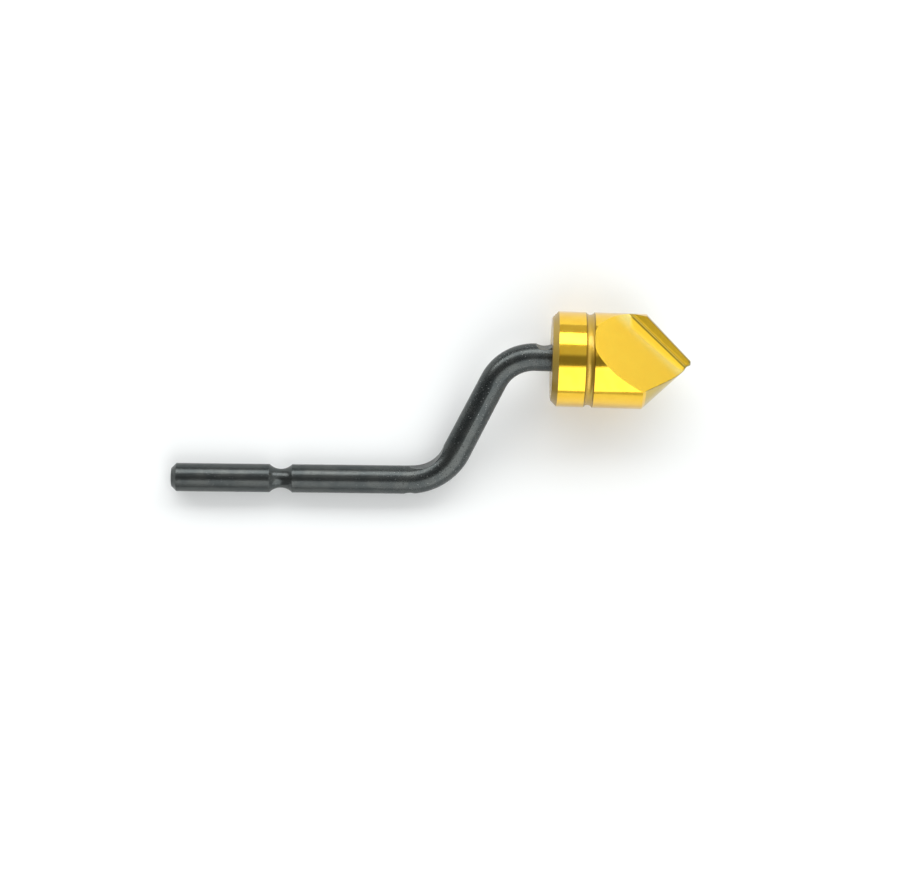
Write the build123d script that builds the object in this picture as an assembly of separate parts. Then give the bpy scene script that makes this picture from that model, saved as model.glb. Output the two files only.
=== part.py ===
"""Crank-shank countersink for a swivel deburring handle.  Sizes are in millimetres.

Two pieces: a bent steel wire, the crank shank, and the single-flute countersink head that
is bonded on its end.  +X runs from the shank's free end to the cutting tip and +Z is up.
The tool lies at rest, with its shank and its head both on the floor.  The origin is on the
shank's axis, in the middle of the detent groove that locates the tool in its handle.
"""
import os
from math import asin, cos, degrees, radians, sin, tan

from build123d import *

# Shank: the straight run that the handle holds
shank_diameter = 3.12
shank_length = 26.06  # free end to the start of the lower bend
end_chamfer = 0.55
detent_from_end = 12.05  # free end to the middle of the detent groove
detent_width = 2.5
detent_depth = 0.52

# Crank: two opposite bends and the leg between them
crank_throw = 13.9  # shank axis to the middle of the head's back
bend_angle = 63.8  # shank to leg
overbend = 1.2  # the upper bend turns this much more, so that the head leans back
lower_bend_radius = 5.9  # on the wire's centreline
upper_bend_radius = 4.92
neck_diameter = 3.02  # the leg tapers to this
neck_length = 1.75  # end of the upper bend to the back of the head
neck_offset = 0.12  # the neck runs this far outboard of the head's axis

# Marks that the bending tools leave in the wire
mandrel_radius = 3.1
mandrel_mark_depth = 0.36
mandrel_mark_angle = 32.0  # how far round the lower bend it is deepest
lower_roller_radius = 1.0
lower_roller_depth = 0.33
lower_roller_lag = 0.19  # start of the lower bend to the middle of the mark
upper_roller_radius = 1.3
upper_roller_depth = 0.45
upper_roller_lag = 0.94  # end of the upper bend to the middle of the mark

# Spigot that carries the head, and the bore that it is bonded into
shoulder_land = 0.15  # narrowest width of the shoulder at the spigot's root
spigot_length = 7.0
spigot_chamfer = 0.3
bond_gap = 0.01  # round the spigot
bore_runout = 0.5  # past the spigot's end
bore_chamfer = 0.1

# Head
head_diameter = 10.4
body_length = 10.2  # back face to the base of the cone
back_chamfer = 0.65
groove_from_back = 4.07
groove_width = 0.95
groove_depth = 0.28
point_angle = 90.0
point_flat = 0.25  # length that the blunted point loses
relief_per_turn = 0.45  # fall of the ground cone's base radius in one turn behind the edge

# Flute: one straight notch, cut by the corner of a grinding wheel
edge_clock = 6.5  # from the crank's plane to the outer end of the cutting edge
rake_angle = 39.6  # hook of the rake face
point_web = 0.4  # how far ahead of the point the rake face passes
rake_width_base = 1.65  # cutting edge to valley, at the cone's base
rake_width_point = 1.15  # and at the point
flute_angle = 87.4  # between the rake face and the floor
valley_radius = 0.28

shank_radius = shank_diameter / 2
neck_radius = neck_diameter / 2
head_radius = head_diameter / 2
spigot_radius = neck_radius - neck_offset - shoulder_land
cone_slope = tan(radians(point_angle / 2))
cone_length = head_radius / cone_slope

# Stations in the crank's plane, measured from the middle of the detent groove
lower_bend_x = shank_length - detent_from_end
bend_sine = sin(radians(bend_angle))
bend_cosine = cos(radians(bend_angle))
lean_sine = sin(radians(overbend))
lean_cosine = cos(radians(overbend))
foot_x = lower_bend_x + lower_bend_radius * bend_sine
foot_y = lower_bend_radius * (1 - bend_cosine)
neck_y = crank_throw + neck_length * lean_sine + neck_offset * lean_cosine
leg_rise = neck_y - foot_y - upper_bend_radius * (lean_cosine - bend_cosine)
leg_length = leg_rise / bend_sine
neck_x = foot_x + leg_length * bend_cosine + upper_bend_radius * (bend_sine + lean_sine)

# The flat crank rolls by this much to bring its head down on the floor beside its shank
rest_roll = degrees(asin((head_radius - shank_radius) / (crank_throw - body_length * lean_sine)))

FROM_BASE = (Align.CENTER, Align.CENTER, Align.MIN)


def along_x(x, y=0.0):
    """A plane square to X whose normal is +X."""
    return Plane(origin=(x, y, 0), x_dir=(0, 1, 0), z_dir=(1, 0, 0))


def rod(x, y, radius, length):
    """A round rod that starts at x, y and runs towards +X."""
    return along_x(x, y) * Cylinder(radius, length, align=FROM_BASE)


def shank():
    """The straight grip, turned with its end chamfer and its round-bottomed detent groove."""
    start = -detent_from_end
    outline = Polyline(
        (-detent_width / 2, shank_radius),
        (start + end_chamfer, shank_radius),
        (start, shank_radius - end_chamfer),
        (start, 0),
        (lower_bend_x, 0),
        (lower_bend_x, shank_radius),
        (detent_width / 2, shank_radius),
    )
    detent = ThreePointArc(
        (-detent_width / 2, shank_radius),
        (0, shank_radius - detent_depth),
        (detent_width / 2, shank_radius),
    )
    return revolve(make_face(outline + detent), Axis.X)


def bend(x, y, radius, centre_y, turn):
    """An elbow of wire that starts or ends square to X at x, y."""
    section = along_x(x, y) * Circle(radius)
    return revolve(section, Axis((x, centre_y, 0), (0, 0, 1)), turn)


def leg():
    """The slanting wire between the bends, drawn down towards the head."""
    heading = (bend_cosine, bend_sine, 0)
    frame = Plane(origin=(foot_x, foot_y, 0), x_dir=(0, 0, 1), z_dir=heading)
    return frame * Cone(shank_radius, neck_radius, leg_length, align=FROM_BASE)


def at_neck(shape):
    """Move a shape from the neck's own frame, along the leaning head, to the crank's."""
    return Pos(neck_x, neck_y, 0) * Rot(Z=-overbend) * shape


def tool_mark(x, y, radius):
    """A pin, square to the crank's plane, that dents the wire where it overlaps it."""
    return Pos(x, y, 0) * Cylinder(radius, 2 * shank_diameter)


def mandrel_mark():
    """The mandrel that the lower bend was wound round, pressed into its inner side."""
    reach = lower_bend_radius - shank_radius + mandrel_mark_depth - mandrel_radius
    angle = radians(mandrel_mark_angle)
    x = lower_bend_x + reach * sin(angle)
    return tool_mark(x, lower_bend_radius - reach * cos(angle), mandrel_radius)


def roller_marks():
    """The rollers that pushed the wire over: one below the lower bend, one above the neck."""
    below = lower_roller_depth - shank_radius - lower_roller_radius
    above = neck_radius + upper_roller_radius - upper_roller_depth
    return [
        tool_mark(lower_bend_x + lower_roller_lag, below, lower_roller_radius),
        at_neck(tool_mark(upper_roller_lag, above, upper_roller_radius)),
    ]


def neck_end():
    """The upper bend, the neck and the spigot, in the neck's own frame."""
    end = bend(0, 0, neck_radius, -upper_bend_radius, bend_angle + overbend)
    end += rod(0, 0, neck_radius, neck_length)
    spigot = rod(neck_length, -neck_offset, spigot_radius, spigot_length)
    return end + chamfer(spigot.edges().sort_by(Axis.X)[-1], spigot_chamfer)


def crank_shank():
    """The whole wire, flat in the XY plane, from its free end to the end of its spigot."""
    wire = shank()
    wire += bend(lower_bend_x, 0, shank_radius, lower_bend_radius, bend_angle)
    wire += leg()
    wire += at_neck(neck_end())
    for mark in [mandrel_mark(), *roller_marks()]:
        wire -= mark
    return wire


def head_blank():
    """The turned blank, along X from its back face, with a square front."""
    groove_start = groove_from_back - groove_width / 2
    groove_end = groove_from_back + groove_width / 2
    front = body_length + cone_length - point_flat
    outline = Polyline(
        (groove_start, head_radius),
        (back_chamfer, head_radius),
        (0, head_radius - back_chamfer),
        (0, 0),
        (front, 0),
        (front, head_radius),
        (groove_end, head_radius),
    )
    groove = ThreePointArc(
        (groove_start, head_radius),
        (groove_from_back, head_radius - groove_depth),
        (groove_end, head_radius),
    )
    return revolve(make_face(outline + groove), Axis.X)


def relief_section(from_base):
    """A slice of the cam-ground cone: its radius falls steadily behind the cutting edge."""
    radius = (cone_length - from_base) * cone_slope
    lead = 40  # degrees ahead of the edge, where the flute takes the step away
    spacing = 20  # degrees between the points of the cam's curve
    points = []
    for behind in range(-lead, 360 - lead + 1, spacing):
        clock = radians(edge_clock - behind)
        fall = 1 - relief_per_turn / head_radius * behind / 360
        points.append((radius * fall * cos(clock), radius * fall * sin(clock)))
    return along_x(body_length + from_base) * make_face(Spline(*points) + Line(points[-1], points[0]))


def point_waste():
    """The stock that grinding takes off round the relieved cone."""
    overrun = 2 * relief_per_turn  # behind the cone's base, where the relief runs out
    cone = loft([relief_section(-overrun), relief_section(cone_length - point_flat)], ruled=True)
    stock = rod(body_length - overrun, 0, head_diameter, cone_length + overrun)
    return stock - cone


def half_space(origin, outward):
    """A block that fills the side of a plane that its outward normal points to."""
    size = 8 * head_diameter
    return Plane(origin=origin, z_dir=outward) * Box(size, size, size, align=FROM_BASE)


def flute():
    """The corner of the wheel: a rake face from the edge down to the valley, then the floor."""
    clock = radians(edge_clock)
    radial = Vector(0, cos(clock), sin(clock))
    ahead = Vector(0, -sin(clock), cos(clock))
    edge_start = Vector(body_length, 0, 0) + radial * head_radius
    edge_end = Vector(body_length + cone_length, 0, 0) + ahead * point_web
    edge = (edge_end - edge_start).normalized()
    outward = ahead.cross(edge).normalized()
    forward = edge.cross(outward)
    hook = radians(rake_angle)
    rake_normal = forward * cos(hook) - outward * sin(hook)
    inward = outward * -cos(hook) - forward * sin(hook)
    valley_start = edge_start + inward * rake_width_base
    valley_end = edge_end + inward * rake_width_point
    valley = (valley_end - valley_start).normalized()
    opening = radians(flute_angle)
    floor_normal = rake_normal.cross(valley) * sin(opening) - rake_normal * cos(opening)
    wheel = half_space(valley_start, rake_normal) & half_space(valley_start, floor_normal)
    return fillet(wheel.edges().sort_by_distance(valley_start)[0], valley_radius)


def countersink_head():
    """The ground head on its own axis, seated against the shoulder of the wire."""
    head = head_blank() - point_waste() - flute()
    head -= rod(0, 0, spigot_radius + bond_gap, spigot_length + bore_runout)
    mouth = head.edges().group_by(Axis.X)[0].sort_by(SortBy.RADIUS)[0]
    return at_neck(Pos(neck_length, -neck_offset, 0) * chamfer(mouth, bore_chamfer))


def write(node, shape):
    """Roll a piece of the flat crank into the rest pose and save it."""
    export_step(Rot(X=rest_roll) * shape, f"parts/{node}.step")


os.makedirs("parts", exist_ok=True)
write("crank_shank", crank_shank())
write("countersink_head", countersink_head())
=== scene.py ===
"""Studio scene of the crank-shank countersink: materials, light, floor and camera."""
from functools import reduce
from math import cos, pi, radians, sin

import bpy
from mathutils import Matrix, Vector


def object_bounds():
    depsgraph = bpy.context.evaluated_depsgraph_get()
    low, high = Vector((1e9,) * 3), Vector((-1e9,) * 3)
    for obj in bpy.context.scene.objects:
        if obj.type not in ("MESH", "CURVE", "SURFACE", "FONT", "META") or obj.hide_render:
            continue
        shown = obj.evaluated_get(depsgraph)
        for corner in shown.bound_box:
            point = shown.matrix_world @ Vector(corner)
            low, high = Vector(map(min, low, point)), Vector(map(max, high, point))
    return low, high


MM = 0.001

# Camera: it looks straight down.  Its height and focal length are assumed together, because
# the photograph fixes only their ratio
CAMERA_HEIGHT = 0.3497
CAMERA_CENTRE = (0.018565, 0.004852)
CAMERA_ROLL = 0.646  # degrees
FOCAL_PIXELS = 3162.0
IMAGE_WIDTH = 900.0
SENSOR_WIDTH = 36.0

# Soft boxes: azimuth from +X towards +Y and angle from the zenith in degrees, width and
# height in metres, and radiance.  They all face the studio's centre.
STUDIO_CENTRE = Vector((0.02, 0.005, 0.0))
LAMP_DISTANCE = 0.5
LAMPS = {
    "key": (93, 50, 1.4, 0.26, 3.4),
    "fill": (-69, 51.5, 0.47, 0.60, 1.45),
    "corner": (-62, 21, 0.11, 0.08, 1.0),
}

# Room: radiance of its walls towards -X and +X, and of the dark gap overhead with its core
# towards -X.  Each border is soft, and lies between two angles from the zenith or two parts
# of a direction along X: outside the gap comes first, and inside it second.
DARK_SIDE = 0.28
BRIGHT_SIDE = 0.76
WALL_BORDER = (-0.35, 0.35)
GAP = 0.2
GAP_CORE = 0.06
GAP_BORDERS_ACROSS = ((radians(13), radians(4)), (radians(-24), radians(-15)))
GAP_BORDER_TOWARDS_X = (sin(radians(22)), sin(radians(12)))
CORE_BORDER = (-0.05, -0.17)

# Floor: it glows a little, so that it is white where no shadow falls
FLOOR_COLOUR = (0.80, 0.82, 0.82)
FLOOR_GLOW = 0.12
MIRRORED_GLOW = 0.4  # share of the glow that reflections see
FLOOR_SIZE = 3.0

# Head: its radius, and stations along its axis from its back face
HEAD_RADIUS = 5.2 * MM
BACK_CHAMFER = 0.65 * MM
GROOVE_START = 3.57 * MM
GROOVE_END = 4.57 * MM
BODY_LENGTH = 10.2 * MM

# Masks of the head for finish, painted shade and painted reflection: each reach is a little more
# than the CAD's depth of the groove, relief of the cone or radius of the valley, so that the whole
# form takes its mask
GROOVE_REACH = 0.3 * MM
CONE_REACH = 0.5 * MM
VALLEY_REACH = 0.3 * MM
LIP_INSET = 0.05 * MM  # from the groove's edge to the middle of the painted dark line of shade on its lip
VALLEY_FADE = (2.4 * MM, 0.5 * MM)  # heights over the rake face: plain floor, then palest of the floor's painted reflection band
BORDER = 0.02 * MM  # half the width over which one finish or painted shade gives way to the next

# Cosines between a face and one of the flute's flats, from not of it to of it, and between a
# face and its rounded edge, from no edge to a sharp one, for painted dark lines of shade on edges
FLAT_COSINES = (0.985, 0.995)
EDGE_COSINES = (0.9985, 0.98)

# Wire: stations between which the drawn finish of the shank gives way to the crank's
BENT_BORDER = (10 * MM, 15 * MM)

EDGE_ROUNDING = 0.05 * MM
BEVEL_SAMPLES = 6


class Nodes:
    """A node tree that is built one node at a time."""

    def __init__(self, tree):
        self.tree = tree
        tree.nodes.clear()

    def add(self, kind, settings=None, **inputs):
        node = self.tree.nodes.new("ShaderNode" + kind)
        for name, value in (settings or {}).items():
            setattr(node, name, value)
        for name, value in inputs.items():
            self.feed(node, name.replace("_", " "), value)
        return node

    def feed(self, node, name, value):
        socket = node.inputs[int(name) if name.isdigit() else name]
        if isinstance(value, bpy.types.NodeSocket):
            self.tree.links.new(value, socket)
        else:
            socket.default_value = value

    def chain(self, kind, operation, values):
        node = self.tree.nodes.new("ShaderNode" + kind)
        node.operation = operation
        for index, value in enumerate(values):
            self.feed(node, str(index), value)
        return node

    def math(self, operation, *values):
        return self.chain("Math", operation, values).outputs[0]

    def vector(self, operation, *values):
        node = self.chain("VectorMath", operation, values)
        return node.outputs["Value" if operation in ("DOT_PRODUCT", "LENGTH") else "Vector"]

    def times(self, *values):
        """The product of the values."""
        return reduce(lambda left, right: self.math("MULTIPLY", left, right), values)

    def inverse(self, share):
        return self.math("SUBTRACT", 1.0, share)

    def ramp(self, value, low, high, start=0.0, end=1.0):
        """A smooth step from start to end while the value goes from low to high."""
        node = self.add("MapRange", {"interpolation_type": "SMOOTHSTEP"}, Value=value)
        levels = {"From Min": low, "From Max": high, "To Min": start, "To Max": end}
        for name, level in levels.items():
            self.feed(node, name, level)
        return node.outputs[0]

    def blend(self, share, low, high):
        """A number that goes from low to high as the share goes from 0 to 1."""
        node = self.add("Mix", {"data_type": "FLOAT"})
        for index, value in ((0, share), (2, low), (3, high)):
            self.feed(node, str(index), value)
        return node.outputs[0]

    def tint(self, share, low, high):
        """A colour that goes from low to high as the share goes from 0 to 1."""
        node = self.add("Mix", {"data_type": "RGBA"})
        colours = [(*value, 1) if isinstance(value, tuple) else value for value in (low, high)]
        for index, value in zip((0, 6, 7), (share, *colours)):
            self.feed(node, str(index), value)
        return node.outputs[2]

    def layers(self, colour, rows):
        """A colour under layers, each with where it lies, its strength and its own colour."""
        for mask, strength, layer in rows:
            colour = self.tint(self.times(mask, strength), colour, layer)
        return colour

    def noise(self, place, scale, detail=2.0):
        """Smooth noise around 0.5, whose scale is in cells to a metre."""
        return self.add("TexNoise", Vector=place, Scale=scale, Detail=detail).outputs["Fac"]

    def spots(self, place, scale, size, soft):
        """Round spots, one to a cell, that are 1 inside and 0 outside; sizes are in cells."""
        cells = self.add("TexVoronoi", Vector=place, Scale=scale)
        return self.ramp(cells.outputs["Distance"], size + soft, size)

    def finish(self, shader, output="OutputMaterial"):
        self.add(output, Surface=shader.outputs[0])


def new_material(name):
    material = bpy.data.materials.new(name)
    material.use_nodes = True
    return material, Nodes(material.node_tree)


def rounded_edges(tree, radius):
    return tree.add("Bevel", {"samples": BEVEL_SAMPLES}, Radius=radius).outputs[0]


def fine_normal(tree, height, strength, depth):
    """Surface normals with a fine bump, and with the sharp edges rounded a little."""
    normal = rounded_edges(tree, EDGE_ROUNDING)
    bump = tree.add("Bump", Height=height, Strength=strength, Distance=depth, Normal=normal)
    return bump.outputs[0]


def black_oxide():
    """Blacked wire: drawn along the shank, and scuffed and pitted where it was bent."""
    material, tree = new_material("black_oxide")
    place = tree.add("TexCoord").outputs["Object"]
    along = tree.add("SeparateXYZ", Vector=place).outputs["X"]
    bent = tree.ramp(along, *BENT_BORDER)

    patches = tree.noise(place, 620.0, 3.0)
    grain = tree.noise(place, 9000.0, 3.0)
    drawn = tree.noise(tree.vector("MULTIPLY", place, (350.0, 12000.0, 12000.0)), 1.0)
    pits = tree.times(tree.spots(place, 3600.0, 0.14, 0.08), tree.ramp(patches, 0.42, 0.58))
    scuffs = tree.times(tree.spots(place, 3400.0, 0.11, 0.06), tree.ramp(patches, 0.60, 0.46),
                        tree.blend(bent, 0.4, 1.0))

    height = tree.math("ADD", tree.times(grain, 0.6), tree.blend(bent, drawn, 0.5))
    height = tree.math("SUBTRACT", height, tree.times(pits, 1.2))
    steel = tree.tint(tree.ramp(patches, 0.35, 0.65), (0.056, 0.064, 0.064), (0.080, 0.087, 0.084))
    steel = tree.layers(steel, [
        (pits, 0.8, (0.014, 0.015, 0.016)),
        (scuffs, 1.0, (0.30, 0.31, 0.305)),
    ])
    roughness = tree.ramp(grain, 0.3, 0.7, 0.20, tree.blend(bent, 0.27, 0.36))
    tree.finish(tree.add("BsdfPrincipled", Base_Color=steel, Roughness=roughness,
                         Metallic=tree.blend(scuffs, 0.82, 0.3),
                         Normal=fine_normal(tree, height, 0.3, 0.02 * MM)))
    return material


def head_axis(mesh):
    """The middle of the head's back face, and the direction from there to the point."""
    back = min(mesh.polygons, key=lambda face: face.normal.x + face.center.x)
    axis = -back.normal
    ring = [vertex.co for vertex in mesh.vertices
            if abs((vertex.co - back.center).dot(axis)) < 0.001 * MM]
    return sum(ring, Vector()) / len(ring), axis


def flute_planes(mesh, axis):
    """A normal and a point of each of the flute's flat faces: its floor, then its rake face."""
    planes = {}
    for face in mesh.polygons:
        if abs(face.normal.dot(axis)) < 0.95:
            planes.setdefault(tuple(round(value, 2) for value in face.normal), []).append(face)
    largest = sorted(planes.values(), key=lambda faces: -sum(face.area for face in faces))[:2]
    return [(faces[0].normal.copy(), faces[0].center.copy()) for faces in largest]


def turned_masks(tree, along, radius):
    """The turned details of the head: the groove's hollow, painted dark lines of shade along its
    two lips, and the back.
    """
    groove = tree.times(tree.ramp(along, GROOVE_START, GROOVE_START + 2 * BORDER),
                        tree.ramp(along, GROOVE_END, GROOVE_END - 2 * BORDER),
                        tree.ramp(radius, HEAD_RADIUS - GROOVE_REACH - 5 * BORDER,
                                  HEAD_RADIUS - GROOVE_REACH))
    from_middle = tree.math("SUBTRACT", along, (GROOVE_START + GROOVE_END) / 2)
    from_lip = tree.math("SUBTRACT", tree.math("ABSOLUTE", from_middle),
                         (GROOVE_END - GROOVE_START) / 2 - LIP_INSET)
    painted_lip_shade = tree.ramp(tree.math("ABSOLUTE", from_lip), 2 * LIP_INSET, 0.6 * LIP_INSET)
    back = tree.ramp(along, BACK_CHAMFER + BORDER, BACK_CHAMFER - BORDER)
    return groove, painted_lip_shade, back


def flute_masks(tree, place, facing, planes):
    """The flute's floor, its rake face, both, the corner between for painted shade, and the floor
    beside that for a painted reflection.
    """
    faces, heights = [], []
    for normal, point in planes:
        faces.append(tree.ramp(tree.vector("DOT_PRODUCT", facing, normal), *FLAT_COSINES))
        offset = tree.vector("SUBTRACT", place, point)
        heights.append(tree.vector("DOT_PRODUCT", offset, normal))
    flute_floor, rake_face = faces
    flat = tree.math("MAXIMUM", flute_floor, rake_face)
    corner = tree.times(tree.ramp(tree.math("MAXIMUM", *heights), VALLEY_REACH + 4 * BORDER,
                                  VALLEY_REACH + BORDER), tree.inverse(flat))
    painted_valley_reflection = tree.times(flute_floor, tree.ramp(heights[1], *VALLEY_FADE))
    return flute_floor, rake_face, flat, corner, painted_valley_reflection


def cone_mask(tree, along, radius, flat):
    """The ground cone, which lies inside a sharp one by no more than its relief."""
    skin = tree.math("SUBTRACT", tree.math("ADD", radius, along), BODY_LENGTH + HEAD_RADIUS)
    return tree.times(tree.ramp(along, BODY_LENGTH - BORDER, BODY_LENGTH + BORDER),
                      tree.ramp(skin, -CONE_REACH - 5 * BORDER, -CONE_REACH),
                      tree.inverse(flat))


def edge_mask(tree, along, normal):
    """Painted dark lines of shade along the sharp edges of the cutting end, from the base of the
    cone to the point.
    """
    turned = tree.vector("DOT_PRODUCT", rounded_edges(tree, 3 * EDGE_ROUNDING), normal)
    return tree.times(tree.ramp(turned, *EDGE_COSINES),
                      tree.ramp(along, BODY_LENGTH - 0.3 * MM, BODY_LENGTH + 0.3 * MM))


def gold_nitride(mesh):
    """Nitride-coated steel: turned round the body, and ground in the flute and on the cone."""
    material, tree = new_material("gold_nitride")
    middle, axis = head_axis(mesh)
    place = tree.add("TexCoord").outputs["Object"]
    surface = tree.add("NewGeometry").outputs
    offset = tree.vector("SUBTRACT", place, middle)
    along = tree.vector("DOT_PRODUCT", offset, axis)
    radius = tree.vector("LENGTH", tree.vector("CROSS_PRODUCT", offset, axis))

    groove, painted_lip_shade, back = turned_masks(tree, along, radius)
    flute_floor, rake_face, flat, corner, painted_valley_reflection = flute_masks(
        tree, place, surface["True Normal"], flute_planes(mesh, axis))
    cone = cone_mask(tree, along, radius, flat)
    painted_edge_shade = edge_mask(tree, along, surface["Normal"])

    patches = tree.noise(place, 900.0, 3.0)
    grain = tree.noise(place, 8000.0, 3.0)
    turning = tree.noise(tree.vector("MULTIPLY", axis, tree.times(along, 22000.0)), 1.0)
    flecks = tree.times(tree.spots(place, 1100.0, 0.06, 0.05), tree.ramp(patches, 0.55, 0.62),
                        flute_floor)

    gold = tree.tint(tree.ramp(patches, 0.3, 0.7), (0.93, 0.555, 0.020), (0.95, 0.595, 0.030))
    gold = tree.layers(gold, [
        # painted shade: the groove's hollow is coloured darker than the body, and its roughness is
        # its own
        (groove, 0.9, (0.50, 0.325, 0.045)),
        # painted shade: dark lines along the groove's lips
        (painted_lip_shade, 0.8, (0.30, 0.19, 0.015)),
        # painted shade: the back chamfer is coloured darker, and its roughness is its own
        (back, 0.9, (0.40, 0.27, 0.05)),
        # painted reflection: the ground cone is coloured dim, as if it mirrored the floor's shadow
        (cone, 1.0, (0.58, 0.43, 0.08)),
        (flecks, 0.35, (0.55, 0.30, 0.01)),
        (flute_floor, 0.5, (0.99, 0.66, 0.05)),
        # painted reflection: a paler band on the flute floor beside the rake face
        (painted_valley_reflection, 1.0, (0.98, 0.80, 0.24)),
        # painted shade: the rake face is coloured darker and less saturated than the rest of the
        # gold
        (rake_face, 1.0, (0.56, 0.435, 0.055)),
        # painted shade: dark lines along the cutting end's sharp edges
        (painted_edge_shade, 0.9, (0.14, 0.10, 0.02)),
        # painted shade: the corner between the flute's floor and rake face is coloured dark
        (corner, 0.85, (0.30, 0.22, 0.02)),
    ])
    roughness = tree.blend(tree.math("MAXIMUM", flat, cone),
                           tree.ramp(grain, 0.3, 0.7, 0.10, 0.14),
                           tree.ramp(grain, 0.3, 0.7, 0.18, 0.21))
    roughness = tree.blend(tree.math("MAXIMUM", groove, back), roughness, 0.45)
    height = tree.blend(flat, turning, tree.times(grain, 0.4))
    tree.finish(tree.add("BsdfPrincipled", Base_Color=gold, Roughness=roughness, Metallic=1.0,
                         Coat_Weight=0.6, Coat_Roughness=0.12,
                         Normal=fine_normal(tree, height, 0.03, 0.01 * MM)))
    return material


def dress(node, material):
    """Give a CAD node its material, slot by slot."""
    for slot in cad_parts[node].material_slots:
        slot.material = material


def floor_material():
    """Pale paper that glows to the camera, less so in reflections, and takes the shadows."""
    material, tree = new_material("floor_paper")
    paper = tree.add("BsdfDiffuse", Color=(*FLOOR_COLOUR, 1))
    path = tree.add("LightPath").outputs
    mirrored = tree.times(path["Is Glossy Ray"], MIRRORED_GLOW)
    seen = tree.math("MAXIMUM", path["Is Camera Ray"], mirrored)
    glow = tree.add("Emission", Color=(1, 1, 1, 1), Strength=tree.times(seen, FLOOR_GLOW))
    both = tree.add("AddShader")
    tree.feed(both, "0", paper.outputs[0])
    tree.feed(both, "1", glow.outputs[0])
    tree.finish(both)
    return material


def add_floor(height):
    half = FLOOR_SIZE / 2
    corners = [(-half, -half), (half, -half), (half, half), (-half, half)]
    mesh = bpy.data.meshes.new("floor")
    mesh.from_pydata([(x, y, height) for x, y in corners], [], [range(4)])
    floor = bpy.data.objects.new("floor", mesh)
    bpy.context.collection.objects.link(floor)
    mesh.materials.append(floor_material())


def soft_box(name, azimuth, zenith, width, height, radiance):
    """A rectangular lamp that faces the studio's centre."""
    light = bpy.data.lights.new(name, "AREA")
    light.shape = "RECTANGLE"
    light.size = width
    light.size_y = height
    light.energy = radiance * pi * width * height
    lamp = bpy.data.objects.new(name, light)
    bpy.context.collection.objects.link(lamp)
    turn, lean = radians(azimuth), radians(zenith)
    outward = Vector((sin(lean) * cos(turn), sin(lean) * sin(turn), cos(lean)))
    lamp.location = STUDIO_CENTRE + outward * LAMP_DISTANCE
    lamp.rotation_euler = outward.to_track_quat("Z", "Y").to_euler()


def add_room():
    """The room: dim towards -X and in a gap overhead, and white where the camera sees it."""
    world = bpy.data.worlds.new("room")
    bpy.context.scene.world = world
    world.use_nodes = True
    tree = Nodes(world.node_tree)
    axes = tree.add("SeparateXYZ", Vector=tree.add("TexCoord").outputs["Generated"]).outputs
    tilt = tree.math("ARCTAN2", axes["Y"], axes["Z"])
    gap = tree.times(*(tree.ramp(tilt, *border) for border in GAP_BORDERS_ACROSS),
                     tree.ramp(axes["X"], *GAP_BORDER_TOWARDS_X))
    walls = tree.ramp(axes["X"], *WALL_BORDER, DARK_SIDE, BRIGHT_SIDE)
    overhead = tree.ramp(axes["X"], *CORE_BORDER, GAP, GAP_CORE)
    level = tree.blend(gap, walls, overhead)
    level = tree.blend(tree.add("LightPath").outputs["Is Camera Ray"], level, 1.0)
    background = tree.add("Background", Color=(1, 1, 1, 1), Strength=level)
    tree.finish(background, "OutputWorld")


def add_camera(height):
    data = bpy.data.cameras.new("camera")
    data.sensor_width = SENSOR_WIDTH
    data.lens = SENSOR_WIDTH * FOCAL_PIXELS / IMAGE_WIDTH
    data.clip_start = 0.01
    data.clip_end = 20
    camera = bpy.data.objects.new("camera", data)
    bpy.context.collection.objects.link(camera)
    camera.location = (*CAMERA_CENTRE, height)
    camera.rotation_euler = (0, 0, radians(CAMERA_ROLL))
    bpy.context.scene.camera = camera


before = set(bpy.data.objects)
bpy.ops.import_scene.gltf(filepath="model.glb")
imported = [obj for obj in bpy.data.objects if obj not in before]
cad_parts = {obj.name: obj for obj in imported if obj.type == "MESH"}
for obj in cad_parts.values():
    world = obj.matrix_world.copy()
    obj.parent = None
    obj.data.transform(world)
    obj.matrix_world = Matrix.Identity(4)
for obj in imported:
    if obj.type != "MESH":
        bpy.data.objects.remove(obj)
cad_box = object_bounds()
floor_height = cad_box[0].z
dress("crank_shank", black_oxide())
dress("countersink_head", gold_nitride(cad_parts["countersink_head"].data))
add_floor(floor_height)
for name, settings in LAMPS.items():
    soft_box(name, *settings)
add_room()
add_camera(floor_height + CAMERA_HEIGHT)
bpy.context.scene.view_settings.view_transform = "Standard"
